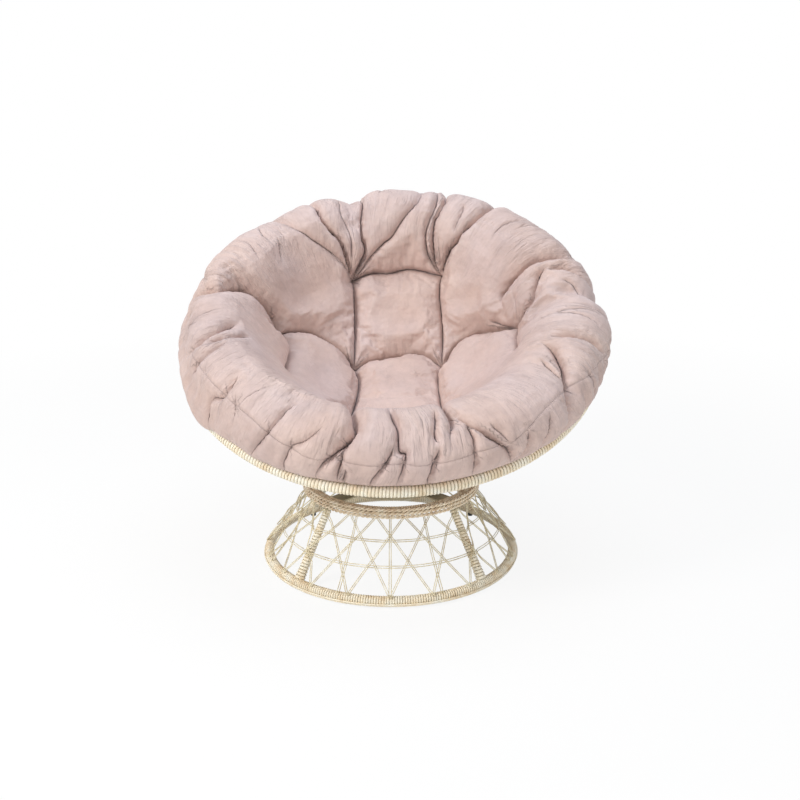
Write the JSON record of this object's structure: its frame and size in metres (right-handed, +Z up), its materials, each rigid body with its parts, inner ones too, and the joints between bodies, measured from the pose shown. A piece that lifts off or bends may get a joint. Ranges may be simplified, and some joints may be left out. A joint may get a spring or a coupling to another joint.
{
  "type": "papasan chair",
  "caption": "Round lounge chair: a tilted bowl frame of wound wicker with a thick tufted cushion, on a flared open-weave base with a swivel.",
  "frame": {"origin": "on the floor, at the middle of the chair's outline from above", "axes": "+Z up, -Y towards the front of the chair, +X towards the viewer's right from the front"},
  "size_m": [1.0884, 0.9932, 0.8896],
  "materials": {
    "steel": "dull painted steel tube and flat bar",
    "zinc": "zinc-plated pressed steel",
    "wicker": "pale natural wicker strand, satin",
    "nylon": "moulded nylon",
    "fabric": "soft woven polyester cover over fibre filling"
  },
  "bodies": {
    "base": {"foot_ring": "steel", "foot_ring_wrap": "wicker", "foot_border_upper": "wicker", "foot_border_lower": "wicker", "top_ring": "steel", "top_ring_wrap": "wicker", "top_ring_band": "wicker", "leg_back_right": "steel", "leg_back_left": "steel", "leg_front_left": "steel", "leg_front_right": "steel", "leg_wrap_back_right": "wicker", "leg_wrap_back_left": "wicker", "leg_wrap_front_left": "wicker", "leg_wrap_front_right": "wicker", "glide_back_right": "nylon", "glide_back_left": "nylon", "glide_front_left": "nylon", "glide_front_right": "nylon", "lattice_right": "wicker", "lattice_back": "wicker", "lattice_left": "wicker", "lattice_front": "wicker", "cross_bar_long": "steel", "cross_bar_short_left": "steel", "cross_bar_short_right": "steel", "swivel_lower_plate": "zinc", "swivel_ball_cage": "zinc", "swivel_pin": "zinc", "swivel_bolt_lower_back_right": "zinc", "swivel_bolt_lower_back_left": "zinc", "swivel_bolt_lower_front_left": "zinc", "swivel_bolt_lower_front_right": "zinc"},
    "bowl": {"swivel_upper_plate": "zinc", "cradle_bracket": "steel", "cradle_ring": "steel", "swivel_bolt_upper_back_right": "zinc", "swivel_bolt_upper_back_left": "zinc", "swivel_bolt_upper_front_left": "zinc", "swivel_bolt_upper_front_right": "zinc", "rim_ring": "steel", "rim_wrap": "wicker", "bowl_floor_ring": "wicker", "bowl_hoop": "wicker", "bowl_rib_1": "wicker", "bowl_rib_2": "wicker", "bowl_rib_3": "wicker", "bowl_rib_4": "wicker", "bowl_rib_5": "wicker", "bowl_rib_6": "wicker", "bowl_rib_7": "wicker", "bowl_rib_8": "wicker", "bowl_lattice_right": "wicker", "bowl_lattice_back": "wicker", "bowl_lattice_left": "wicker", "bowl_lattice_front": "wicker"},
    "cushion": {"cushion": "fabric"}
  },
  "joints": [
    {"name": "swivel", "type": "hinge", "parent": "base", "child": "bowl", "pos_m": [-0.01065, -0.09312, 0.2], "axis": [0, 0, 1], "continuous": true},
    {"name": "cushion_lift", "type": "slide", "parent": "bowl", "child": "cushion", "axis": [0, -0.4305, 0.9026], "range_m": [0, 0.4]}
  ]
}
